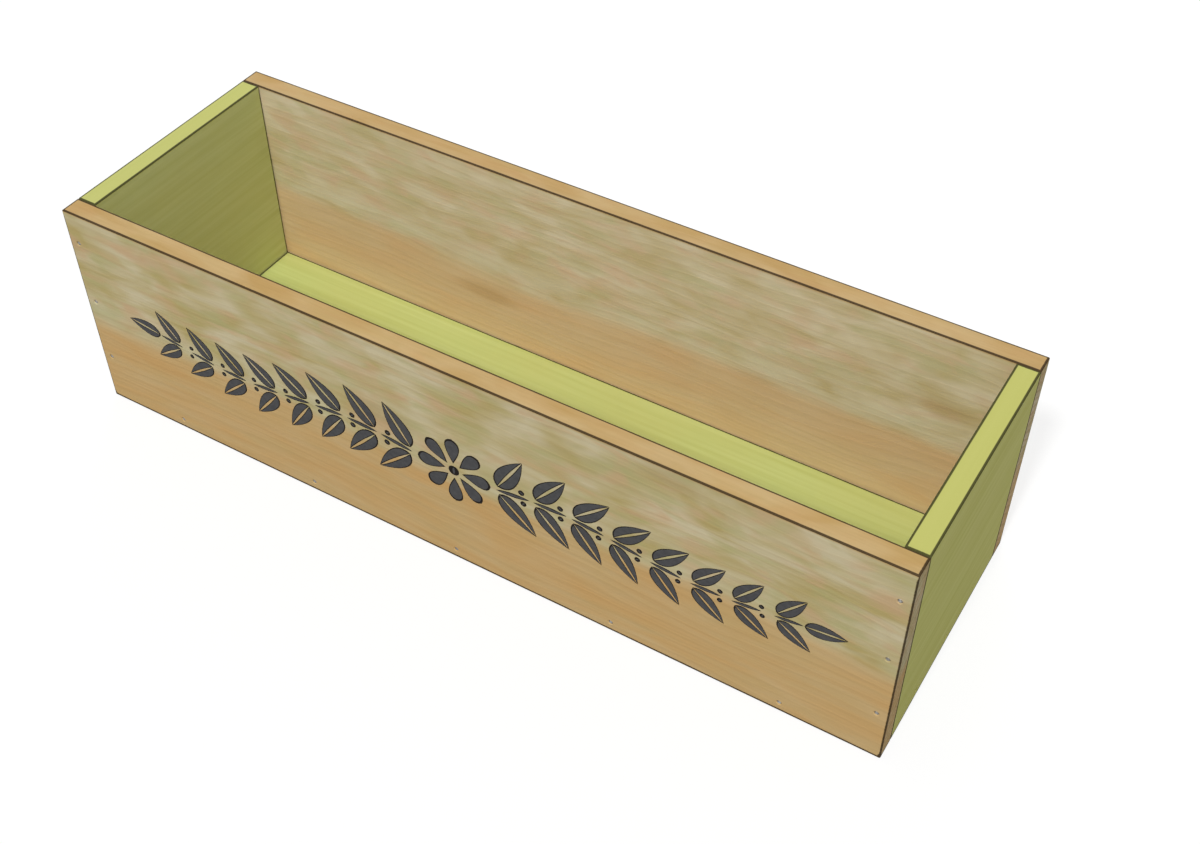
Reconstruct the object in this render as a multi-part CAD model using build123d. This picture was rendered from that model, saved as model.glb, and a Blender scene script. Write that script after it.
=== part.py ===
from build123d import *
import math
import os

# Indoor herb planter: an open box of five boards, butted together and nailed.
# The front and back boards run the full length and cover the edges of the end boards and of the
# bottom board, which lies between the ends and flush with their lower edges. Finish nails driven
# from outside hold every joint, with their heads set just below the face.
# Frame: +Z up, +X along the box, the front faces -Y. The origin is the middle of the underside.

# Boards, in millimetres
BOX_LENGTH = 508.0        # front and back boards, 20 in
WALL_HEIGHT = 139.7       # width of the four wall boards, 5 1/2 in
INSIDE_DEPTH = 139.7      # length of the end boards and width of the bottom, 5 1/2 in
FACE_THICKNESS = 12.7     # front and back boards, 1/2 in
END_THICKNESS = 12.7      # end boards, 1/2 in
BOTTOM_THICKNESS = 12.7   # bottom board, 1/2 in
ARRIS_EASING = 0.8        # flat sanded along every edge of a board, taken off each face

# Finish nails, 1 1/4 in long, their round wire drawn with flats
NAIL_LENGTH = 31.75
WIRE_FLATS = 12
SHANK_DIAMETER = 1.7
HEAD_DIAMETER = 2.5
HEAD_HEIGHT = 1.6         # from the top of the head to the end of the neck
NECK_HEIGHT = 0.6         # the cone between the head and the shank
RIM_CHAMFER = 0.2
DIMPLE_DIAMETER = 1.2     # the hollow in the head that the nail set sits in
DIMPLE_BOTTOM = 0.5       # diameter of its flat bottom
DIMPLE_DEPTH = 0.25
POINT_LENGTH = 3.2        # the four-sided diamond point
TIP_WIDTH = 0.2
SET_DEPTH = 0.4           # from the face of the board to the top of the head
NAIL_FIT = 0.02           # radial clearance between a nail and the wood

# Nail rows
CORNER_NAIL_COUNT = 3      # from the front or back board into one end board
CORNER_MARGIN = 21.0       # from the top edge, and from the inside floor, to the nearest corner nail
LONG_EDGE_NAIL_COUNT = 5   # from the front or back board into the bottom
LONG_EDGE_MARGIN = 24.0    # from the points of the end nails to the nearest of these
SHORT_EDGE_NAIL_COUNT = 3  # from an end board into the bottom
SHORT_EDGE_MARGIN = 30.0   # from the side of the bottom to the nearest of these

# Sizes that follow from those
BOX_DEPTH = INSIDE_DEPTH + 2 * FACE_THICKNESS
BOTTOM_LENGTH = BOX_LENGTH - 2 * END_THICKNESS
DRIVEN_DEPTH = SET_DEPTH + NAIL_LENGTH

LENGTHWISE = (1, 0, 0)
ACROSS = (0, 1, 0)
UP = (0, 0, 1)


def board(grain, width_along, length, width, thickness):
    """A planed board about the origin: its eased outline, length along the grain."""
    section = Plane(origin=(0, 0, 0), x_dir=width_along, z_dir=grain)
    blank = extrude(section * Rectangle(width, thickness), amount=length / 2, both=True)
    return chamfer(blank.edges(), ARRIS_EASING)


def wire_section(radius):
    """The section of the wire, with its flats at that radius."""
    return RegularPolygon(radius, WIRE_FLATS, major_radius=False, rotation=180 / WIRE_FLATS)


def wire(high, low, radius):
    """A straight length of wire along Z."""
    return Pos(0, 0, low) * extrude(wire_section(radius), amount=high - low)


def drawn_down(section, high, low, wide, narrow):
    """A section carried down from one height to another while its flats close in from wide to narrow."""
    downward = Plane(origin=(0, 0, high), x_dir=LENGTHWISE, z_dir=(0, 0, -1))
    slope = math.degrees(math.atan2(wide - narrow, high - low))
    return downward * extrude(section, amount=high - low, taper=slope)


def nail_shank(clearance=0.0):
    """The neck, shank and diamond point below a nail's head, grown all round by a clearance."""
    head_radius = HEAD_DIAMETER / 2 + clearance
    shank_radius = SHANK_DIAMETER / 2 + clearance
    shoulder = POINT_LENGTH - NAIL_LENGTH
    tip = -NAIL_LENGTH - clearance
    head_section = wire_section(head_radius)
    neck = drawn_down(head_section, NECK_HEIGHT - HEAD_HEIGHT, -HEAD_HEIGHT, head_radius, shank_radius)
    shank = wire(-HEAD_HEIGHT, shoulder, shank_radius)
    square = Rectangle(2 * shank_radius, 2 * shank_radius)
    diamond = drawn_down(square, shoulder, tip, shank_radius, TIP_WIDTH / 2 + clearance)
    point = diamond & wire(shoulder, tip, shank_radius)
    return neck + shank + point


def finish_nail():
    """One nail pointing down -Z, with the top of its dimpled head at the origin."""
    head = wire(0, NECK_HEIGHT - HEAD_HEIGHT, HEAD_DIAMETER / 2)
    head = chamfer(head.faces().sort_by(Axis.Z)[-1].edges(), RIM_CHAMFER)
    dimple_radius = DIMPLE_DIAMETER / 2
    dimple = drawn_down(wire_section(dimple_radius), 0, -DIMPLE_DEPTH, dimple_radius, DIMPLE_BOTTOM / 2)
    return head - dimple + nail_shank()


def nail_hole():
    """What a nail pushes aside in the wood, open to the face that it was driven from."""
    mouth = wire(2 * SET_DEPTH, NECK_HEIGHT - HEAD_HEIGHT, HEAD_DIAMETER / 2 + NAIL_FIT)
    return mouth + nail_shank(NAIL_FIT)


def spaced(low, high, count):
    """Evenly spaced places from low to high."""
    return [low + (high - low) * i / (count - 1) for i in range(count)]


def driven(x, y, z, outward):
    """The place of a nail driven into the face at that point, square to it."""
    surface = Vector(x, y, z)
    normal = Vector(*outward)
    return Plane(origin=surface - normal * SET_DEPTH, z_dir=normal)


def board_blanks():
    """The five boards in place, before they are nailed."""
    face = board(LENGTHWISE, UP, BOX_LENGTH, WALL_HEIGHT, FACE_THICKNESS)
    end = board(ACROSS, UP, INSIDE_DEPTH, WALL_HEIGHT, END_THICKNESS)
    bottom = board(LENGTHWISE, ACROSS, BOTTOM_LENGTH, INSIDE_DEPTH, BOTTOM_THICKNESS)
    face_y = (BOX_DEPTH - FACE_THICKNESS) / 2
    end_x = (BOX_LENGTH - END_THICKNESS) / 2
    return {
        "front_board": Pos(0, -face_y, WALL_HEIGHT / 2) * face,
        "back_board": Pos(0, face_y, WALL_HEIGHT / 2) * face,
        "left_end_board": Pos(-end_x, 0, WALL_HEIGHT / 2) * end,
        "right_end_board": Pos(end_x, 0, WALL_HEIGHT / 2) * end,
        "bottom_board": Pos(0, 0, BOTTOM_THICKNESS / 2) * bottom,
    }


def nail_rows():
    """Each row of nails by name: the board it goes through, the board it goes into, and its places."""
    heights = spaced(BOTTOM_THICKNESS + CORNER_MARGIN, WALL_HEIGHT - CORNER_MARGIN, CORNER_NAIL_COUNT)
    furthest = BOX_LENGTH / 2 - DRIVEN_DEPTH - LONG_EDGE_MARGIN
    stations = spaced(-furthest, furthest, LONG_EDGE_NAIL_COUNT)
    reach = INSIDE_DEPTH / 2 - SHORT_EDGE_MARGIN
    offsets = spaced(-reach, reach, SHORT_EDGE_NAIL_COUNT)
    end_x = (BOX_LENGTH - END_THICKNESS) / 2
    low_z = BOTTOM_THICKNESS / 2
    rows = {}
    for face, facing in (("front", -1), ("back", 1)):
        face_y = facing * BOX_DEPTH / 2
        outward = (0, facing, 0)
        for end, x in (("left", -end_x), ("right", end_x)):
            corner = [driven(x, face_y, z, outward) for z in heights]
            rows[f"{face}_{end}_nails"] = (f"{face}_board", f"{end}_end_board", corner)
        edge = [driven(x, face_y, low_z, outward) for x in stations]
        rows[f"{face}_bottom_nails"] = (f"{face}_board", "bottom_board", edge)
    for end, facing in (("left", -1), ("right", 1)):
        edge = [driven(facing * BOX_LENGTH / 2, y, low_z, (facing, 0, 0)) for y in offsets]
        rows[f"{end}_end_nails"] = (f"{end}_end_board", "bottom_board", edge)
    return rows


def build():
    """Every piece by name: the boards with their nail holes, and the rows of nails."""
    boards = board_blanks()
    nail = finish_nail()
    hole = nail_hole()
    pieces = {}
    for name, (through, into, places) in nail_rows().items():
        for holed in (through, into):
            boards[holed] -= [place * hole for place in places]
        pieces[name] = Compound([place * nail for place in places])
    return boards | pieces


os.makedirs("parts", exist_ok=True)
for piece_name, piece in build().items():
    export_step(piece, f"parts/{piece_name}.step")
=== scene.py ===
import math
import bmesh
import bpy
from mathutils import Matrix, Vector


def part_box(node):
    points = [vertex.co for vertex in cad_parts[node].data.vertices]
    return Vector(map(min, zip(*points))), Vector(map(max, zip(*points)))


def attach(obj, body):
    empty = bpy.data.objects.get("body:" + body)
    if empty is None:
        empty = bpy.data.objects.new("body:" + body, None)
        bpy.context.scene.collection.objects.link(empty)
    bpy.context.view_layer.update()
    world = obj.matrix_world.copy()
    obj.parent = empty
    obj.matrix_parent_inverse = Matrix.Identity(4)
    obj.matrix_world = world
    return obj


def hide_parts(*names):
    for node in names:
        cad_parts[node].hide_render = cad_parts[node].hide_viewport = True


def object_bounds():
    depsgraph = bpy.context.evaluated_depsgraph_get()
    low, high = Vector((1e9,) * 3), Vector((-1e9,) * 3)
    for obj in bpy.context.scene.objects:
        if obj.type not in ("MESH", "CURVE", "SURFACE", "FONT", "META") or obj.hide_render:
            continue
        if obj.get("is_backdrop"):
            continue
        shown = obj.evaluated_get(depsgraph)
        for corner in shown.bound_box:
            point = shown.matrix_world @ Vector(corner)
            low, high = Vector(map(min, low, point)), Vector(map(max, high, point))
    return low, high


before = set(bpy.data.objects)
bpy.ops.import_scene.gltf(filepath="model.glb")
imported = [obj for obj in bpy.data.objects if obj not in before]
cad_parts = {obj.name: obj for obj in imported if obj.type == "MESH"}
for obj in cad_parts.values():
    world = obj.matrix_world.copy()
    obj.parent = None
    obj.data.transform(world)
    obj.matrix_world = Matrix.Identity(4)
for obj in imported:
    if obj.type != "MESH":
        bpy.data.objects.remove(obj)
cad_low, cad_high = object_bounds()


# Bottom board: 1/2 in softwood, cut to lie between the two ends and flush with their lower edges.
# It is planed, its arrises are rounded by hand with sandpaper, and it is painted yellow-green on every
# side, a little greener than the ends: painted light, a cooler mix that offsets the yellow light which
# the walls throw into the box. Nails through all four walls hold it.
GRID_SPACING = 0.006       # of the cuts over a board, close enough for an arris to wear unevenly
ARRIS_RADIUS = 0.00045
ARRIS_SEGMENTS = 5
ARRIS_ANGLE = math.radians(60)   # faces that turn by more than this meet in an arris
SANDING_DEPTH = 0.00025    # the most that the sandpaper takes off an arris besides
SANDING_LENGTH = 0.022     # of one stretch of an arris that was sanded alike
SQUARE_FACE = 0.999        # a face's normal lies this near an axis where it is flat
HANDLED_TOP = 0.0012       # width of the line that hands and damp have darkened, on a face that looks up
HANDLED_RIM = 0.0005       # on a wall just below its top edge
HANDLED_SIDE = 0.00085     # along a wall's upright corners
HANDLED_FOOT = 0.0017      # and along its foot, where damp gets in
HANDLED_BAND = 0.002       # height of the rim and of the foot
HANDLED_BLEND = 0.0002     # to either side of the line's edge, where it fades
HANDLED_STRAY = 0.0002     # how far that edge strays with the grain
HANDLED_SHARE = 0.9        # of the colour under the line that it hides
TOP_EDGE_Z = cad_high.z
TOP_EDGE_DEPTH = 0.0015    # how far down a wall the colour of its top edge starts
TOP_EDGE_FULL = 0.0005     # and how far down it is at its full share
TOP_EDGE_SHARE = 0.8
MATT_SPECULAR = 0.06       # an eggshell, oiled or chalky surface gives back little of what it faces
ALONG_X, ALONG_Y = 0, 1    # the two ways that a board's grain can run

sanding = bpy.data.textures.new("uneven_sanding", "CLOUDS")
sanding.noise_scale = SANDING_LENGTH


def apply_modifier(piece, kind, **settings):
    """Adds a modifier with its settings to a piece, and applies it."""
    modifier = piece.modifiers.new(kind.lower(), kind)
    for name, value in settings.items():
        setattr(modifier, name, value)
    bpy.context.view_layer.objects.active = piece
    bpy.ops.object.modifier_apply(modifier=modifier.name)


def sawn_board(name, node):
    """A block where its node lies, cut into a grid, its arrises sanded round a little unevenly."""
    low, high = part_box(node)
    size = high - low
    bpy.ops.object.select_all(action="DESELECT")
    bpy.ops.mesh.primitive_cube_add(size=1, location=(low + high) / 2, scale=size)
    bpy.ops.object.transform_apply(location=True, rotation=True, scale=True)
    board = bpy.context.object
    board.name = name
    bpy.ops.object.mode_set(mode="EDIT")
    bpy.ops.mesh.select_mode(type="EDGE")
    for axis in range(3):
        bpy.ops.mesh.select_all(action="DESELECT")
        for edge in bmesh.from_edit_mesh(board.data).edges:
            along = edge.verts[1].co - edge.verts[0].co
            edge.select_set(abs(along[axis]) > along.length / 2)
        bpy.ops.mesh.subdivide(number_cuts=round(size[axis] / GRID_SPACING) - 1)
    bpy.ops.mesh.select_all(action="DESELECT")
    bpy.ops.mesh.edges_select_sharp(sharpness=ARRIS_ANGLE)
    bpy.ops.mesh.bevel(offset=ARRIS_RADIUS, segments=ARRIS_SEGMENTS, affect="EDGES")
    bpy.ops.object.mode_set(mode="OBJECT")

    flat = set()
    for face in board.data.polygons:
        if max(abs(part) for part in face.normal) > SQUARE_FACE:
            flat.update(face.vertices)
    rounded = [vertex.index for vertex in board.data.vertices if vertex.index not in flat]
    board.vertex_groups.new(name="sanded").add(rounded, 1.0, "REPLACE")
    apply_modifier(
        board, "DISPLACE", texture=sanding, texture_coords="LOCAL", vertex_group="sanded",
        strength=-SANDING_DEPTH, mid_level=0.0)
    return board


def linear(hex_colour):
    """An sRGB hex value as the linear colour that a shader takes."""
    channels = [int(hex_colour[i:i + 2], 16) / 255 for i in (1, 3, 5)]
    return [c / 12.92 if c <= 0.04045 else ((c + 0.055) / 1.055) ** 2.4 for c in channels] + [1.0]


def feed(node, inputs):
    """Feeds a node's inputs, given as a list in the node's own order or as a dict by name.

    Each takes a value, the socket that feeds it, or a node, which feeds it by its first output in use."""
    sockets = [socket for socket in node.inputs if socket.enabled]
    if isinstance(inputs, dict):
        sockets = [node.inputs[name] for name in inputs]
        inputs = inputs.values()
    for socket, source in zip(sockets, inputs):
        if isinstance(source, bpy.types.Node):
            source = next(output for output in source.outputs if output.enabled)
        if isinstance(source, bpy.types.NodeSocket):
            node.id_data.links.new(source, socket)
        else:
            socket.default_value = source


def add_node(tree, kind, inputs=(), **settings):
    """Adds a node with its settings, and feeds its inputs."""
    node = tree.nodes.new(kind)
    for name, value in settings.items():
        setattr(node, name, value)
    feed(node, inputs)
    return node


def new_material(name):
    """A new material, its node tree, and the socket that gives the place of each point of a piece."""
    material = bpy.data.materials.new(name)
    material.use_nodes = True
    tree = material.node_tree
    return material, tree, add_node(tree, "ShaderNodeTexCoord").outputs["Object"]


def marks(length, width, axis):
    """The pattern scale for marks of that length along an axis and that width across, in millimetres."""
    scale = [1000 / width] * 3
    scale[axis] = 1000 / length
    return scale


def soft_marks(tree, place, axis, length, width, detail, offset=(0, 0, 0), roughness=0.5, distortion=0.0):
    """Soft uneven marks of that length along an axis and that width across, in millimetres."""
    marked_place = add_node(
        tree, "ShaderNodeMapping",
        {"Vector": place, "Scale": marks(length, width, axis), "Location": offset})
    return add_node(
        tree, "ShaderNodeTexNoise",
        {"Vector": marked_place, "Scale": 1.0, "Detail": detail, "Roughness": roughness,
         "Distortion": distortion})


def handled_arris(tree, z, grain):
    """How much hands and damp have darkened each point: a thin line along the arrises.

    Along an arris two of the three depths from a board's sides are small, so the line follows the
    middle one, and its edge strays with the grain. The line is widest on top, where hands take hold
    of the box, and at the foot, where damp gets in."""
    depths = add_node(tree, "ShaderNodeAttribute", attribute_name="depth_from_sides").outputs["Vector"]
    depth_x, depth_y, depth_z = add_node(tree, "ShaderNodeSeparateXYZ", [depths]).outputs
    less = add_node(tree, "ShaderNodeMath", [depth_x, depth_y], operation="MINIMUM")
    more = add_node(tree, "ShaderNodeMath", [depth_x, depth_y], operation="MAXIMUM")
    more = add_node(tree, "ShaderNodeMath", [more, depth_z], operation="MINIMUM")
    middle = add_node(tree, "ShaderNodeMath", [less, more], operation="MAXIMUM")
    stray = add_node(
        tree, "ShaderNodeMapRange", {"Value": grain, "To Min": -HANDLED_STRAY, "To Max": HANDLED_STRAY})
    strayed = add_node(tree, "ShaderNodeMath", [middle, stray], operation="ADD")

    foot_width = add_node(
        tree, "ShaderNodeMapRange",
        {"Value": z, "From Min": HANDLED_BAND, "From Max": 2 * HANDLED_BAND,
         "To Min": HANDLED_FOOT, "To Max": HANDLED_SIDE})
    rim_share = add_node(
        tree, "ShaderNodeMapRange",
        {"Value": z, "From Min": TOP_EDGE_Z - 2 * HANDLED_BAND, "From Max": TOP_EDGE_Z - HANDLED_BAND})
    wall_width = add_node(
        tree, "ShaderNodeMapRange", {"Value": rim_share, "To Min": foot_width, "To Max": HANDLED_RIM})
    normal = add_node(tree, "ShaderNodeNewGeometry").outputs["Normal"]
    upward = add_node(tree, "ShaderNodeSeparateXYZ", [normal]).outputs["Z"]
    width = add_node(
        tree, "ShaderNodeMapRange", {"Value": upward, "To Min": wall_width, "To Max": HANDLED_TOP})
    past = add_node(tree, "ShaderNodeMath", [strayed, width], operation="SUBTRACT")
    return add_node(
        tree, "ShaderNodeMapRange",
        {"Value": past, "From Min": -HANDLED_BLEND, "From Max": HANDLED_BLEND,
         "To Min": HANDLED_SHARE, "To Max": 0.0},
        interpolation_type="SMOOTHSTEP")


def top_edge(tree, z):
    """How much of the top edge's own colour a board has at each height."""
    return add_node(
        tree, "ShaderNodeMapRange",
        {"Value": z, "From Min": TOP_EDGE_Z - TOP_EDGE_DEPTH, "From Max": TOP_EDGE_Z - TOP_EDGE_FULL,
         "To Max": TOP_EDGE_SHARE})


def brushed_paint(name, grain, thin, thick):
    """Eggshell emulsion on planed wood, brushed along the grain: an even yellow-green with faint laps.

    The eye sees soft strokes where the coat runs thick or thin, warmer clouds in it, the raised grain
    under it, a top edge in one set tone on every board, and arrises where it was rubbed thin and has
    darkened with handling. The top edge's set tone keeps the lit tops alike, while the walls below it carry
    each board's own mix, which is painted light that offsets how the light falls on them."""
    material, tree, place = new_material(name)
    z = add_node(tree, "ShaderNodeSeparateXYZ", [place]).outputs["Z"]
    strokes = soft_marks(tree, place, grain, length=120, width=3.0, detail=3.0)
    raised = soft_marks(tree, place, grain, length=40, width=1.4, detail=4.0)
    clouds = soft_marks(tree, place, grain, length=90, width=45, detail=2.0)

    stroke_tone = add_node(
        tree, "ShaderNodeMapRange", {"Value": strokes, "From Min": 0.3, "From Max": 0.7})
    coat = add_node(tree, "ShaderNodeMix", [stroke_tone, linear(thin), linear(thick)], data_type="RGBA")
    cloud_share = add_node(
        tree, "ShaderNodeMapRange", {"Value": clouds, "From Min": 0.35, "From Max": 0.65, "To Max": 0.35})
    clouded = add_node(tree, "ShaderNodeMix", [cloud_share, coat, linear("#c6c377")], data_type="RGBA")
    # Painted light: one set tone on the top edge keeps the mixes that offset each wall's light off the lit
    # tops.
    edged = add_node(
        tree, "ShaderNodeMix", [top_edge(tree, z), clouded, linear("#bbbc6a")], data_type="RGBA")
    handled = handled_arris(tree, z, raised)
    colour = add_node(tree, "ShaderNodeMix", [handled, edged, linear("#2e2c16")], data_type="RGBA")

    gloss = add_node(tree, "ShaderNodeMapRange", {"Value": strokes, "To Min": 0.72, "To Max": 0.54})
    stroke_relief = add_node(
        tree, "ShaderNodeBump", {"Height": strokes, "Strength": 0.25, "Distance": 0.0004})
    relief = add_node(
        tree, "ShaderNodeBump",
        {"Height": raised, "Strength": 0.2, "Distance": 0.0003, "Normal": stroke_relief})
    feed(
        tree.nodes["Principled BSDF"],
        {"Base Color": colour, "Roughness": gloss, "Normal": relief, "Specular IOR Level": MATT_SPECULAR})
    return material


bottom_board = sawn_board("bottom_board_painted", "bottom_board")
# Painted light: the bottom's coat is greener and cooler, to offset the yellow light that the walls throw on
# it.
bottom_board.data.materials.append(
    brushed_paint("green_eggshell_paint_lengthwise", ALONG_X, thin="#bdc677", thick="#c9d288"))
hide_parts("bottom_board")
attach(bottom_board, "root")


# End boards: two squares of the same stock, standing the full height at each end of the bottom.
# They are painted like it before the box goes together, and nailed through into its ends. Each has a
# mix of its own as painted light: the left one paler and cooler, to lift its inner face in the box's shade,
# the right one darker and yellower, to damp the white light on its outer face.
end_boards = {}
# Painted light: a paler, cooler left coat and a darker, yellower right coat even out the light on their
# walls.
for side, thin, thick in (("left", "#bfc582", "#cbd193"), ("right", "#b7b65f", "#c3c270")):
    end_board = sawn_board(f"{side}_end_board_painted", f"{side}_end_board")
    end_board.data.materials.append(brushed_paint(f"green_eggshell_paint_{side}", ALONG_Y, thin, thick))
    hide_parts(f"{side}_end_board")
    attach(end_board, "root")
    end_boards[side] = end_board


# Front and back boards: 20 in of 1/2 in poplar, unpainted, over the edges of the ends and the bottom.
# They are planed, sanded and wiped with a matt oil: warm heartwood low down, and above it paler sapwood
# with the greenish and pinkish streaks of its kind. They are nailed to the pieces that they cover.
BOARD_INSIDE_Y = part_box("back_board")[0].y
BOARD_OUTSIDE_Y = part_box("back_board")[1].y
BOARD_MIDDLE_Y = (BOARD_INSIDE_Y + BOARD_OUTSIDE_Y) / 2
END_GRAIN_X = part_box("front_board")[1].x
END_GRAIN_DEPTH = 0.0012   # how far in from a sawn end the wood has drunk more oil
HEARTWOOD_Z = 0.065        # where the warm heartwood gives way to sapwood
HEARTWOOD_BLEND = 0.007    # above and below that, where the two merge
PALE_BAND = 0.008          # height of the palest sapwood, next to the heartwood
PALE_FADE = 0.012          # and of the stretch above it where that fades
DRIFT = 0.012              # how far those heights drift up and down along a board
STREAK_CURL = 0.4          # how strongly the pattern of the streaks is bent
STREAK_FULL = 0.7          # the height of that pattern at which a streak has its full colour
PITH_BEHIND = 0.030        # from the middle of a board's thickness, and below its lower edge, to the pith
PITH_BELOW = 0.025
RING_SPACING = 0.0052
RING_WAVER = 0.002         # how far a growth ring wavers in and out
BACK_PAINTED_LIFT = 0.13       # share of pale tint on the back board's inside: painted light for that shaded face


def coloured_streaks(tree, waved, under, colour, length, width, offset, start, share):
    """Soft streaks of another colour in the wood under them, of that length and width in millimetres."""
    streaks = soft_marks(
        tree, waved, ALONG_X, length, width, detail=2.0, offset=offset, distortion=STREAK_CURL)
    shown = add_node(
        tree, "ShaderNodeMapRange",
        {"Value": streaks, "From Min": start, "From Max": STREAK_FULL, "To Max": share})
    return add_node(tree, "ShaderNodeMix", [shown, under, linear(colour)], data_type="RGBA")


def sapwood(tree, waved, height, streak_tone):
    """Pale wood with greenish and pinkish streaks, palest next to the heartwood."""
    cream = add_node(
        tree, "ShaderNodeMix", [streak_tone, linear("#b7a66f"), linear("#cec29f")], data_type="RGBA")
    greened = coloured_streaks(
        tree, waved, cream, "#b3ad78", length=31, width=12, offset=(8.3, 1.9, 2.7), start=0.5, share=0.75)
    pinked = coloured_streaks(
        tree, waved, greened, "#caaa83", length=28, width=11, offset=(3.1, 7.7, 5.3), start=0.5, share=0.75)
    pale_top = HEARTWOOD_Z + PALE_BAND
    lowest = add_node(
        tree, "ShaderNodeMapRange",
        {"Value": height, "From Min": pale_top, "From Max": pale_top + PALE_FADE,
         "To Min": 1.0, "To Max": 0.0},
        interpolation_type="SMOOTHSTEP")
    streak_share = add_node(tree, "ShaderNodeMapRange", {"Value": streak_tone, "To Max": 0.7})
    pale_share = add_node(tree, "ShaderNodeMath", [lowest, streak_share], operation="MULTIPLY")
    return add_node(tree, "ShaderNodeMix", [pale_share, pinked, linear("#c8c19c")], data_type="RGBA")


def heartwood(tree, waved, streak_tone):
    """Warm tan wood with long streaks of a redder blush."""
    tan = add_node(
        tree, "ShaderNodeMix", [streak_tone, linear("#c6a873"), linear("#caad7c")], data_type="RGBA")
    return coloured_streaks(
        tree, waved, tan, "#cba268", length=75, width=15, offset=(1.7, 4.4, 6.1), start=0.4, share=0.8)


def latewood(tree, place, y, height):
    """The darker wood that closes each year's ring, round a pith that lies behind and below the board."""
    ripple = soft_marks(tree, place, ALONG_X, length=55, width=9, detail=2.0)
    waver = add_node(
        tree, "ShaderNodeMapRange", {"Value": ripple, "To Min": -RING_WAVER, "To Max": RING_WAVER})
    outward = add_node(tree, "ShaderNodeMath", [y], operation="ABSOLUTE")
    before = add_node(tree, "ShaderNodeMath", [outward, PITH_BEHIND - BOARD_MIDDLE_Y], operation="ADD")
    above = add_node(tree, "ShaderNodeMath", [height, PITH_BELOW], operation="ADD")
    from_pith = add_node(tree, "ShaderNodeCombineXYZ", [before, above])
    radius = add_node(tree, "ShaderNodeVectorMath", [from_pith], operation="LENGTH")
    wavering = add_node(tree, "ShaderNodeMath", [radius, waver], operation="ADD")
    rings = add_node(tree, "ShaderNodeMath", [wavering, RING_SPACING], operation="DIVIDE")
    year = add_node(tree, "ShaderNodeMath", [rings], operation="FRACT")
    late = add_node(
        tree, "ShaderNodeMapRange", {"Value": year, "From Min": 0.45, "From Max": 0.9},
        interpolation_type="SMOOTHSTEP")
    ended = add_node(
        tree, "ShaderNodeMapRange",
        {"Value": year, "From Min": 0.92, "From Max": 1.0, "To Min": 1.0, "To Max": 0.0})
    return add_node(tree, "ShaderNodeMath", [late, ended], operation="MULTIPLY")


def wood_fibre(tree, place):
    """The fibre of the planed wood, drawn several times as coarse as it is, so that it shows."""
    return soft_marks(tree, place, ALONG_X, length=38, width=1.3, detail=4.0, roughness=0.62)


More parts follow.
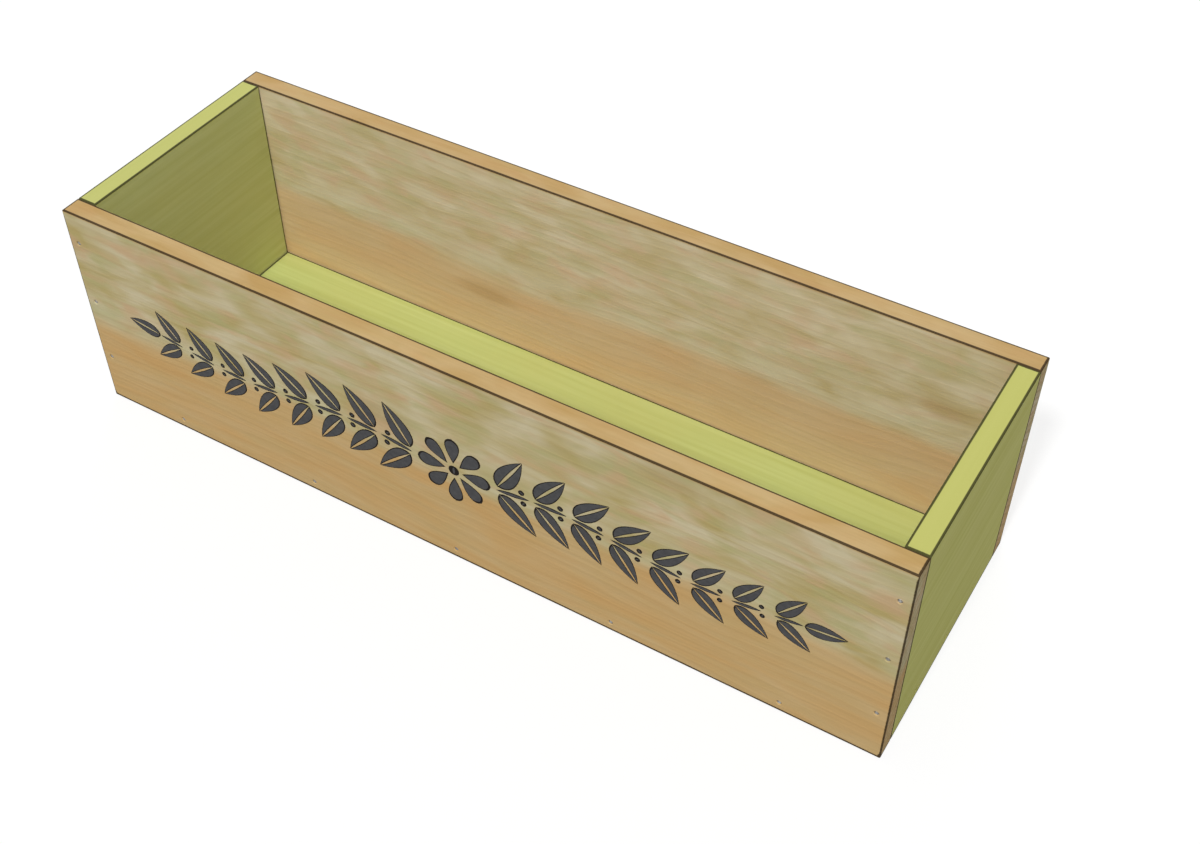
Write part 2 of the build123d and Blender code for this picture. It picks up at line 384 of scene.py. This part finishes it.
def oiled_poplar(name, painted_lift):
    """Flat-sawn poplar under matt oil: fine even fibre, faint growth rings and broad streaks of colour.

    The pattern is solid, so that the rings run round the edges and show as arcs on the end grain, which
    is darker with oil. The eye also sees a plainer tan top edge, dark flecks here and there, and arrises
    that have darkened with handling. The last argument is the share of a pale tint painted on the inside
    of a back board: painted light that lifts that face, which lies in the box's shade."""
    material, tree, place = new_material(name)
    x, y, z = add_node(tree, "ShaderNodeSeparateXYZ", [place]).outputs
    wander = soft_marks(tree, place, ALONG_X, length=190, width=45, detail=2.0)
    drift = add_node(tree, "ShaderNodeMapRange", {"Value": wander, "To Min": -DRIFT, "To Max": DRIFT})
    height = add_node(tree, "ShaderNodeMath", [z, drift], operation="ADD")
    waved = add_node(tree, "ShaderNodeCombineXYZ", [x, y, height])

    streaks = soft_marks(
        tree, waved, ALONG_X, length=38, width=14, detail=2.5, roughness=0.45, distortion=STREAK_CURL)
    streak_tone = add_node(
        tree, "ShaderNodeMapRange", {"Value": streaks, "From Min": 0.34, "From Max": 0.66})
    heart_share = add_node(
        tree, "ShaderNodeMapRange",
        {"Value": height, "From Min": HEARTWOOD_Z - HEARTWOOD_BLEND,
         "From Max": HEARTWOOD_Z + HEARTWOOD_BLEND, "To Min": 1.0, "To Max": 0.0},
        interpolation_type="SMOOTHSTEP")
    sap = sapwood(tree, waved, height, streak_tone)
    heart = heartwood(tree, waved, streak_tone)
    timber = add_node(tree, "ShaderNodeMix", [heart_share, sap, heart], data_type="RGBA")
    # Painted light: the inside of the back board is tinted pale, lifting a face that lies in the box's
    # shade.
    painted_lift_share = add_node(
        tree, "ShaderNodeMapRange",
        {"Value": y, "From Min": BOARD_INSIDE_Y, "From Max": BOARD_OUTSIDE_Y,
         "To Min": painted_lift, "To Max": 0.0})
    lifted_inside = add_node(tree, "ShaderNodeMix", [painted_lift_share, timber, linear("#ede1da")], data_type="RGBA")
    edge_tone = add_node(
        tree, "ShaderNodeMix", [streak_tone, linear("#b8925a"), linear("#c09f69")], data_type="RGBA")
    edged = add_node(tree, "ShaderNodeMix", [top_edge(tree, z), lifted_inside, edge_tone], data_type="RGBA")

    reach = add_node(tree, "ShaderNodeMath", [x], operation="ABSOLUTE")
    sawn_end = add_node(
        tree, "ShaderNodeMapRange",
        {"Value": reach, "From Min": END_GRAIN_X - END_GRAIN_DEPTH,
         "From Max": END_GRAIN_X - END_GRAIN_DEPTH / 2})
    late = latewood(tree, place, y, height)
    ring_depth = add_node(tree, "ShaderNodeMapRange", {"Value": sawn_end, "To Min": 0.09, "To Max": 0.55})
    ring_share = add_node(tree, "ShaderNodeMath", [late, ring_depth], operation="MULTIPLY")
    ringed = add_node(tree, "ShaderNodeMix", [ring_share, edged, linear("#a98a55")], data_type="RGBA")

    fibre = wood_fibre(tree, waved)
    fibre_tone = add_node(
        tree, "ShaderNodeMapRange",
        {"Value": fibre, "From Min": 0.28, "From Max": 0.72, "To Min": 0.955, "To Max": 1.04})
    fibrous = add_node(tree, "ShaderNodeVectorMath", [ringed, fibre_tone], operation="MULTIPLY")
    fleck_place = add_node(
        tree, "ShaderNodeMapping",
        {"Vector": waved, "Scale": marks(150, 40, ALONG_X), "Location": (0.4, 0.0, 0.2)})
    flecks = add_node(tree, "ShaderNodeTexVoronoi", {"Vector": fleck_place, "Scale": 1.0})
    fleck_share = add_node(
        tree, "ShaderNodeMapRange",
        {"Value": flecks, "From Min": 0.06, "From Max": 0.2, "To Min": 0.35, "To Max": 0.0},
        interpolation_type="SMOOTHSTEP")
    flecked = add_node(tree, "ShaderNodeMix", [fleck_share, fibrous, linear("#a3834f")], data_type="RGBA")
    pore_share = add_node(
        tree, "ShaderNodeMapRange",
        {"Value": fibre, "From Min": 0.35, "From Max": 0.65, "To Min": 0.4, "To Max": 0.05})
    soaked_share = add_node(tree, "ShaderNodeMath", [sawn_end, pore_share], operation="MULTIPLY")
    soaked = add_node(tree, "ShaderNodeMix", [soaked_share, flecked, linear("#7f6a45")], data_type="RGBA")
    handled = handled_arris(tree, z, fibre)
    colour = add_node(tree, "ShaderNodeMix", [handled, soaked, linear("#2c2014")], data_type="RGBA")

    gloss = add_node(tree, "ShaderNodeMapRange", {"Value": fibre, "To Min": 0.76, "To Max": 0.58})
    ring_relief = add_node(tree, "ShaderNodeBump", {"Height": late, "Strength": 0.15, "Distance": 0.0004})
    relief = add_node(
        tree, "ShaderNodeBump",
        {"Height": fibre, "Strength": 0.3, "Distance": 0.0004, "Normal": ring_relief})
    feed(
        tree.nodes["Principled BSDF"],
        {"Base Color": colour, "Roughness": gloss, "Normal": relief, "Specular IOR Level": MATT_SPECULAR})
    return material


face_boards = {}
for side, painted_lift in (("front", 0.0), ("back", BACK_PAINTED_LIFT)):
    face_board = sawn_board(f"{side}_board_oiled", f"{side}_board")
    face_board.data.materials.append(oiled_poplar(f"oiled_poplar_{side}", painted_lift))
    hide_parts(f"{side}_board")
    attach(face_board, "root")
    face_boards[side] = face_board


# Finish nails: 1 1/4 in bright steel wire, their small dimpled heads sunk just below the face with a nail
# set. Each pushes its own hole through one board into the next, and bruises the wood round the mouth.
CORNER_NAILS = 3           # from the front or back board into an end
LONG_EDGE_NAILS = 5        # from the front or back board into the bottom
SHORT_EDGE_NAILS = 3       # from an end into the bottom
NAIL_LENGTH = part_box("front_left_nails")[1].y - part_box("front_left_nails")[0].y
NAIL_SIDES = 24
HEAD_RADIUS = 0.00125
HEAD_HEIGHT = 0.0010
RIM_WIDTH = 0.0002         # of the chamfer round the head
DIMPLE_RADIUS = 0.0007
DIMPLE_DEPTH = 0.00025
NECK_HEIGHT = 0.0006
SHANK_RADIUS = 0.00085
POINT_LENGTH = 0.0032
TIP_RADIUS = 0.0001
NAIL_FIT = 0.00002         # clearance between a nail and the wood
SET_DEPTH = 0.0004         # from the face of a board down to the top of a head
BRUISE_WIDTH = 0.0005      # about how far the wood is crushed round the mouth of a hole
SLIVER_WIDTH = 0.000002    # of the slivers that cutting the holes can leave in a board
NAIL_CREASE = math.radians(30)    # edges that turn by more than this stay crisp on a nail
BOARD_CREASE = math.radians(40)   # and on a board
UP, DOWN = 1, -1
FRONTWARD, BACKWARD, LEFTWARD, RIGHTWARD = (0, -1, 0), (0, 1, 0), (-1, 0, 0), (1, 0, 0)


def select_end(piece, facing):
    """Selects the end of a wire that faces up or down."""
    bpy.ops.mesh.select_all(action="DESELECT")
    faces = bmesh.from_edit_mesh(piece.data).faces
    ends = [face for face in faces if face.normal.z * facing > SQUARE_FACE]
    max(ends, key=lambda face: face.calc_center_median().z * facing).select_set(True)


def drawn_wire(name, radius, low, high):
    """A length of round wire on the Z axis, left in edit mode with its lower end selected."""
    bpy.ops.object.select_all(action="DESELECT")
    bpy.ops.mesh.primitive_cylinder_add(
        vertices=NAIL_SIDES, radius=radius, depth=high - low, location=(0, 0, (low + high) / 2))
    bpy.ops.object.transform_apply(location=True, rotation=True, scale=True)
    bpy.context.object.name = name
    bpy.ops.object.mode_set(mode="EDIT")
    bpy.ops.mesh.select_mode(type="FACE")
    select_end(bpy.context.object, DOWN)
    return bpy.context.object


def draw_out(height, old_radius, new_radius):
    """Extrudes the selected end of a wire along Z, and brings its rim to a new radius."""
    bpy.ops.mesh.extrude_region_move(TRANSFORM_OT_translate={"value": (0, 0, height)})
    share = new_radius / old_radius
    bpy.ops.transform.resize(value=(share, share, 1), center_override=(0, 0, 0))


def below_head(clearance):
    """Draws the neck, the shank and the point out of the selected lower end of a head."""
    head, shank, tip = HEAD_RADIUS + clearance, SHANK_RADIUS + clearance, TIP_RADIUS + clearance
    draw_out(-NECK_HEIGHT, head, shank)
    draw_out(HEAD_HEIGHT + NECK_HEIGHT + POINT_LENGTH - NAIL_LENGTH, shank, shank)
    draw_out(-POINT_LENGTH - clearance, shank, tip)


nail = drawn_wire("nail", HEAD_RADIUS, -HEAD_HEIGHT, -RIM_WIDTH)
below_head(0)
select_end(nail, UP)
draw_out(RIM_WIDTH, HEAD_RADIUS, HEAD_RADIUS - RIM_WIDTH)
draw_out(0, HEAD_RADIUS - RIM_WIDTH, DIMPLE_RADIUS)
draw_out(-DIMPLE_DEPTH, DIMPLE_RADIUS, DIMPLE_RADIUS / 2)
bpy.ops.object.mode_set(mode="OBJECT")

hole = drawn_wire("hole", HEAD_RADIUS + NAIL_FIT, -HEAD_HEIGHT, 0)
below_head(NAIL_FIT)
select_end(hole, UP)
draw_out(SET_DEPTH + BRUISE_WIDTH, HEAD_RADIUS + NAIL_FIT, HEAD_RADIUS + 2 * BRUISE_WIDTH)
bpy.ops.object.mode_set(mode="OBJECT")


def bright_steel():
    """Drawn steel wire, bright but dulled in patches by handling: grey metal with a soft gleam."""
    material, tree, place = new_material("bright_wire_steel")
    tarnish = soft_marks(tree, place, ALONG_X, length=0.8, width=0.8, detail=3.0)
    tone = add_node(tree, "ShaderNodeMapRange", {"Value": tarnish, "From Min": 0.4, "From Max": 0.65})
    colour = add_node(tree, "ShaderNodeMix", [tone, linear("#a3a29e"), linear("#77716a")], data_type="RGBA")
    gloss = add_node(tree, "ShaderNodeMapRange", {"Value": tarnish, "To Min": 0.28, "To Max": 0.5})
    feed(tree.nodes["Principled BSDF"], {"Base Color": colour, "Roughness": gloss, "Metallic": 1.0})
    return material


def pick(piece):
    """Makes a piece the only one that is selected, and the active one."""
    bpy.ops.object.select_all(action="DESELECT")
    piece.select_set(True)
    bpy.context.view_layer.objects.active = piece


def extent(piece):
    """The lowest and highest corners of a mesh."""
    corners = [vertex.co for vertex in piece.data.vertices]
    low = Vector(min(corner[axis] for corner in corners) for axis in range(3))
    high = Vector(max(corner[axis] for corner in corners) for axis in range(3))
    return low, high


def copied(pattern, place):
    """A copy of an object, with a mesh of its own, at that place."""
    copy = pattern.copy()
    copy.data = pattern.data.copy()
    copy.location = place
    bpy.context.collection.objects.link(copy)
    return copy


def joined(pieces, name):
    """Those pieces as one object at the origin, unturned and unscaled."""
    pick(pieces[0])
    for piece in pieces:
        piece.select_set(True)
    bpy.ops.object.transform_apply(location=True, rotation=True, scale=True)
    bpy.ops.object.join()
    pieces[0].name = name
    return pieces[0]


def driven(pattern, name, places, outward):
    """Copies of a nail or a hole at those places, their heads facing outward, joined into one object."""
    copies = [copied(pattern, place) for place in places]
    for copy in copies:
        copy.rotation_mode = "QUATERNION"
        copy.rotation_quaternion = Vector(outward).to_track_quat("Z", "Y")
    return joined(copies, name)


nail.data.materials.append(bright_steel())
nail_rows = []
for side, outward in (("front", FRONTWARD), ("back", BACKWARD)):
    for end in ("left", "right"):
        nail_rows.append((f"{side}_{end}_nails", CORNER_NAILS, outward, face_boards[side], end_boards[end]))
    nail_rows.append((f"{side}_bottom_nails", LONG_EDGE_NAILS, outward, face_boards[side], bottom_board))
for side, outward in (("left", LEFTWARD), ("right", RIGHTWARD)):
    nail_rows.append((f"{side}_end_nails", SHORT_EDGE_NAILS, outward, end_boards[side], bottom_board))

for row, count, outward, through, into in nail_rows:
    low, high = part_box(row)
    middle = (low + high) / 2
    head = middle + Vector(outward) * NAIL_LENGTH / 2
    reach = high - low - Vector(abs(part) * NAIL_LENGTH for part in outward)
    row_axis = max(range(3), key=lambda i: reach[i])
    places = []
    for i in range(count):
        place = head.copy()
        place[row_axis] += (reach[row_axis] - 2 * HEAD_RADIUS) * (i / (count - 1) - 0.5)
        places.append(place)
    nails = driven(nail, f"{row}_steel", places, outward)
    bpy.ops.object.shade_smooth_by_angle(angle=NAIL_CREASE)
    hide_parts(row)
    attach(nails, "root")
    holes = driven(hole, "holes", places, outward)
    for board in (through, into):
        apply_modifier(board, "BOOLEAN", operation="DIFFERENCE", solver="EXACT", object=holes)
    bpy.data.objects.remove(holes)
bpy.data.objects.remove(nail)
bpy.data.objects.remove(hole)

# With its holes in, each board loses their slivers, its flat faces are made to look flat, and every point
# of it notes how deep it lies from the board's three pairs of sides, for the line along the arrises.
for board in (bottom_board, *end_boards.values(), *face_boards.values()):
    pick(board)
    bpy.ops.object.mode_set(mode="EDIT")
    bpy.ops.mesh.select_all(action="SELECT")
    bpy.ops.mesh.dissolve_degenerate(threshold=SLIVER_WIDTH)
    bpy.ops.object.mode_set(mode="OBJECT")
    bpy.ops.object.shade_smooth_by_angle(angle=BOARD_CREASE)
    apply_modifier(board, "WEIGHTED_NORMAL", keep_sharp=True)
    low, high = extent(board)
    depths = board.data.attributes.new("depth_from_sides", "FLOAT_VECTOR", "POINT")
    for vertex in board.data.vertices:
        nearest = [min(vertex.co[axis] - low[axis], high[axis] - vertex.co[axis]) for axis in range(3)]
        depths.data[vertex.index].vector = nearest


# Garland: two sprays of leaves and berries that reach out from a flower, across the front board's middle.
# It is charcoal chalk paint, dabbed through a cut stencil in two coats once the box was nailed. The
# second coat stops a little short of the first, which shows round it as a darker rim.
GARLAND_MIDDLE = Vector((0.0035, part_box("front_board")[0].y, 0.071))
CURVE_STEPS = 12           # short straight stretches in each curve of the stencil
FIRST_COAT = 0.00008       # how far each coat stands proud of the board
SECOND_COAT = 0.00012
RIM_WIDTH_ALONG = 0.0014   # of the first coat past the second, at the ends of an opening
RIM_WIDTH_ACROSS = 0.0006
LEAF_LENGTH = 0.030
LAST_LEAF_SIZE = 0.75      # of the leaves at a spray's tip, against the first ones
FIRST_ANGLE = math.radians(50)   # between a leaf and its stem, by the flower
LAST_ANGLE = math.radians(42)    # and at the tip
RIB_GAP = 0.0001           # the least bridge of the stencil between the two halves of a leaf
LEAF_GAP = 0.0036          # bridge between a stem and a leaf
STEM_GAP = 0.0022          # bridge between a stem and the next
BERRY_RADIUS = 0.0018
BERRY_REACH = 0.0032       # from the stem to the nearest of a berry
BERRY_PLACE = 0.62         # share of the stem's length at which its berries sit
PETAL_LENGTH = 0.0178
PETAL_COUNT = 8
FLOWER_EYE = 0.0033        # radius of the flower's eye, and from there a bridge to its petals
FLOWER_GAP = 0.0020
SPRAY_START = 0.0255       # from the middle of the flower to the first pair of leaves
SPRAY_WAVE = 0.0040        # how far a spray's stem waves to either side
PAIR_SPACING = 0.0228
PAIR_COUNT = 8


def opening(length, out, back=None, aside=0.0):
    """An opening cut in the stencil: a face from the origin to a tip and back, each way one curve.

    Each curve has two handles, in shares of its length. Without those for the way back, it mirrors
    the way out. The whole of it can lie a little aside."""
    back = back or [(x, -y) for x, y in reversed(out)]
    shift = Vector((0, aside, 0))
    handles = [Vector((x, y, 0)) * length + shift for x, y in (*out, *back)]
    bpy.ops.object.select_all(action="DESELECT")
    bpy.ops.curve.primitive_bezier_curve_add()
    outline = bpy.context.object
    outline.data.dimensions = "2D"
    outline.data.fill_mode = "BOTH"
    outline.data.resolution_u = CURVE_STEPS
    line = outline.data.splines[0]
    line.use_cyclic_u = True
    base, end = line.bezier_points
    for point in (base, end):
        point.handle_left_type = "FREE"
        point.handle_right_type = "FREE"
    base.co = shift
    end.co = Vector((length, 0, 0)) + shift
    base.handle_right, end.handle_left, end.handle_right, base.handle_left = handles
    bpy.ops.object.convert(target="MESH")
    return bpy.context.object


def second_coat(first):
    """A copy of an opening's first coat that leaves a rim of it bare all round."""
    second = copied(first, (0, 0, 0))
    low, high = extent(second)
    shares = [1 - 2 * RIM_WIDTH_ALONG / (high.x - low.x), 1 - 2 * RIM_WIDTH_ACROSS / (high.y - low.y), 1]
    pick(second)
    bpy.ops.object.mode_set(mode="EDIT")
    bpy.ops.mesh.select_all(action="SELECT")
    bpy.ops.transform.resize(value=shares, center_override=(low + high) / 2)
    bpy.ops.object.mode_set(mode="OBJECT")
    return second


half_leaf = opening(
    LEAF_LENGTH, out=[(0.10, 0.34), (0.62, 0.24)], back=[(0.68, 0.035), (0.32, 0.035)], aside=RIB_GAP / 2)
stem = opening(PAIR_SPACING - STEM_GAP, out=[(0.29, 0.10), (0.78, 0.08)])
berry = opening(2 * BERRY_RADIUS, out=[(0, 2 / 3), (1, 2 / 3)])
petal = opening(PETAL_LENGTH, out=[(0.28, 0.15), (0.89, 0.50)])
coats = ({}, {})
for name, pattern in (("leaf", half_leaf), ("stem", stem), ("berry", berry), ("petal", petal)):
    coats[0][name] = pattern
    coats[1][name] = second_coat(pattern)
for coat in coats:
    apply_modifier(coat["leaf"], "MIRROR", use_axis=(False, True, False), use_mirror_merge=False)


def along(place, direction, distance):
    """The point that far from a place in a direction on the flat."""
    return place + Vector((math.cos(direction), math.sin(direction), 0)) * distance


def spray_point(distance):
    """The point of a spray's waving stem at that distance past the first pair of leaves."""
    turns = distance / (PAIR_SPACING * (PAIR_COUNT - 1))
    return Vector((SPRAY_START + distance, SPRAY_WAVE * math.sin(2 * math.pi * turns), 0))


spray = []
for i in range(PAIR_COUNT):
    node = spray_point(i * PAIR_SPACING)
    onward = spray_point((i + 1) * PAIR_SPACING) - node
    heading = math.atan2(onward.y, onward.x)
    share = i / (PAIR_COUNT - 1)
    lean = FIRST_ANGLE + (LAST_ANGLE - FIRST_ANGLE) * share
    size = 1 + (LAST_LEAF_SIZE - 1) * share
    for side in (1, -1):
        spray.append(("leaf", along(node, heading + side * lean, LEAF_GAP), heading + side * lean, size))
    spray.append(("stem", along(node, heading, STEM_GAP / 2), heading, size))
    if i == PAIR_COUNT - 1:
        spray.append(("leaf", along(node, heading, PAIR_SPACING * size), heading, size))
        break
    for side in (1, -1):
        axil = along(node, heading, PAIR_SPACING * BERRY_PLACE)
        spray.append(("berry", along(axil, heading + side * lean, BERRY_REACH), heading + side * lean, size))

flower = [("berry", Vector((-FLOWER_EYE, 0, 0)), 0, FLOWER_EYE / BERRY_RADIUS)]
for i in range(PETAL_COUNT):
    heading = 2 * math.pi * i / PETAL_COUNT
    flower.append(("petal", along(Vector(), heading, FLOWER_EYE + FLOWER_GAP), heading, 1))


def chalk_paint(name, thin, thick):
    """Chalk paint dabbed on with a stiff brush: dead matt and a little patchy, over the wood's fibre."""
    material, tree, place = new_material(name)
    dabs = soft_marks(tree, place, ALONG_X, length=3.2, width=2.6, detail=3.0)
    fibre = wood_fibre(tree, place)
    dab_tone = add_node(tree, "ShaderNodeMapRange", {"Value": dabs, "From Min": 0.3, "From Max": 0.7})
    colour = add_node(tree, "ShaderNodeMix", [dab_tone, linear(thin), linear(thick)], data_type="RGBA")
    gloss = add_node(tree, "ShaderNodeMapRange", {"Value": dabs, "To Min": 0.95, "To Max": 0.78})
    dab_relief = add_node(tree, "ShaderNodeBump", {"Height": dabs, "Strength": 0.2, "Distance": 0.0003})
    relief = add_node(
        tree, "ShaderNodeBump",
        {"Height": fibre, "Strength": 0.3, "Distance": 0.0004, "Normal": dab_relief})
    feed(
        tree.nodes["Principled BSDF"],
        {"Base Color": colour, "Roughness": gloss, "Normal": relief, "Specular IOR Level": MATT_SPECULAR})
    return material


films = []
for patterns, film, paint in (
        (coats[0], FIRST_COAT, chalk_paint("charcoal_chalk_paint_first_coat", "#2a2623", "#231f1d")),
        (coats[1], SECOND_COAT, chalk_paint("charcoal_chalk_paint_second_coat", "#565657", "#4b4b4d"))):
    dabs = {"spray": [], "flower": []}
    for group, openings in (("spray", spray), ("flower", flower)):
        for name, place, heading, size in openings:
            dab = copied(patterns[name], place)
            dab.rotation_euler.z = heading
            dab.scale = (size, size, 1)
            dabs[group].append(dab)
    painted_spray = joined(dabs["spray"], "spray")
    apply_modifier(painted_spray, "MIRROR", use_axis=(True, False, False), use_mirror_merge=False)
    coat = joined([painted_spray, *dabs["flower"]], "coat")
    coat.data.materials.append(paint)
    apply_modifier(coat, "SOLIDIFY", thickness=2 * film, offset=0.0)
    coat.location = GARLAND_MIDDLE
    coat.rotation_euler.x = math.radians(90)
    films.append(coat)
garland = joined(films, "front_garland_stencilled")
bpy.ops.object.mode_set(mode="EDIT")
bpy.ops.mesh.select_all(action="SELECT")
bpy.ops.mesh.normals_make_consistent(inside=False)
bpy.ops.object.mode_set(mode="OBJECT")
for patterns in coats:
    for pattern in patterns.values():
        bpy.data.objects.remove(pattern)
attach(garland, "root")


# Studio: a white floor that keeps the box's soft shadow, an even white surround, and three lamps.
# The main lamp stands high and straight in front. A weak one fills the faces that look right, and
# a broad one, low down behind, lights the back and the left.
FLOOR_SIZE = 30.0
FLOOR_CLEARANCE = 0.0001   # below the box, so that the two surfaces don't coincide
FLOOR_BOUNCE = "#898989"   # what the floor gives back to the box
FLOOR_LIFT = 0.76          # added for the eye, so that the lit floor reads white
SURROUND_LIGHT = 0.40
KEY_LIGHT = 2.24
KEY_FROM = Vector((0.02, -0.645, 0.765))
KEY_SPREAD = math.radians(6)
FILL_LIGHT = 0.38
FILL_FROM = Vector((0.91, -0.12, 0.40))
FILL_SPREAD = math.radians(12)
BACK_LIGHT = 2.25
BACK_FROM = Vector((-0.39, 0.92, 0.10))
BACK_SPREAD = math.radians(40)


def seen(tree):
    """1 for what the eye sees, directly, mirrored or through glass, and 0 for light thrown on the box."""
    path = add_node(tree, "ShaderNodeLightPath").outputs
    plain = add_node(
        tree, "ShaderNodeMath", [path["Is Camera Ray"], path["Is Glossy Ray"]], operation="MAXIMUM")
    return add_node(tree, "ShaderNodeMath", [plain, path["Is Transmission Ray"]], operation="MAXIMUM")


bpy.ops.object.select_all(action="DESELECT")
bpy.ops.mesh.primitive_plane_add(size=FLOOR_SIZE, location=(0, 0, -FLOOR_CLEARANCE))
floor = bpy.context.object
floor.name = "studio_floor"
floor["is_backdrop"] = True
white = bpy.data.materials.new("white_floor")
white.use_nodes = True
tree = white.node_tree
lift = add_node(tree, "ShaderNodeMath", [seen(tree), FLOOR_LIFT], operation="MULTIPLY")
glow = add_node(tree, "ShaderNodeEmission", {"Strength": lift})
matt = add_node(tree, "ShaderNodeBsdfDiffuse", {"Color": linear(FLOOR_BOUNCE)})
both = add_node(tree, "ShaderNodeAddShader", [matt, glow])
feed(tree.nodes["Material Output"], {"Surface": both})
floor.data.materials.append(white)

world = bpy.data.worlds.new("studio")
world.use_nodes = True
bpy.context.scene.world = world
tree = world.node_tree
strength = add_node(
    tree, "ShaderNodeMapRange", {"Value": seen(tree), "To Min": SURROUND_LIGHT, "To Max": 1.0})
feed(tree.nodes["Background"], {"Color": linear("#ffffff"), "Strength": strength})

for name, light, source, spread in (
        ("key_lamp", KEY_LIGHT, KEY_FROM, KEY_SPREAD),
        ("fill_lamp", FILL_LIGHT, FILL_FROM, FILL_SPREAD),
        ("back_lamp", BACK_LIGHT, BACK_FROM, BACK_SPREAD)):
    bpy.ops.object.light_add(type="SUN", location=source)
    lamp = bpy.context.object
    lamp.name = name
    lamp.data.energy = light
    lamp.data.angle = spread
    lamp.rotation_mode = "QUATERNION"
    lamp.rotation_quaternion = source.to_track_quat("Z", "Y")


# Camera: to the right of the front and well above it, looking down into the box, with a lens that
# takes in 30 degrees from top to bottom.
PICTURE_WIDTH, PICTURE_HEIGHT = 1200, 844
VIEW_HEIGHT = math.radians(30)
EYE = Vector((0.36174, -0.52944, 0.66507))
AIM = Vector((0.04439, -0.00274, 0.06))

bpy.ops.object.camera_add(location=EYE)
camera = bpy.context.object
camera.rotation_mode = "QUATERNION"
camera.rotation_quaternion = (EYE - AIM).to_track_quat("Z", "Y")
camera.data.sensor_fit = "HORIZONTAL"
view_width = math.tan(VIEW_HEIGHT / 2) * PICTURE_WIDTH / PICTURE_HEIGHT
camera.data.lens = camera.data.sensor_width / 2 / view_width
bpy.context.scene.camera = camera
bpy.context.scene.view_settings.view_transform = "Standard"

low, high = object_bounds()
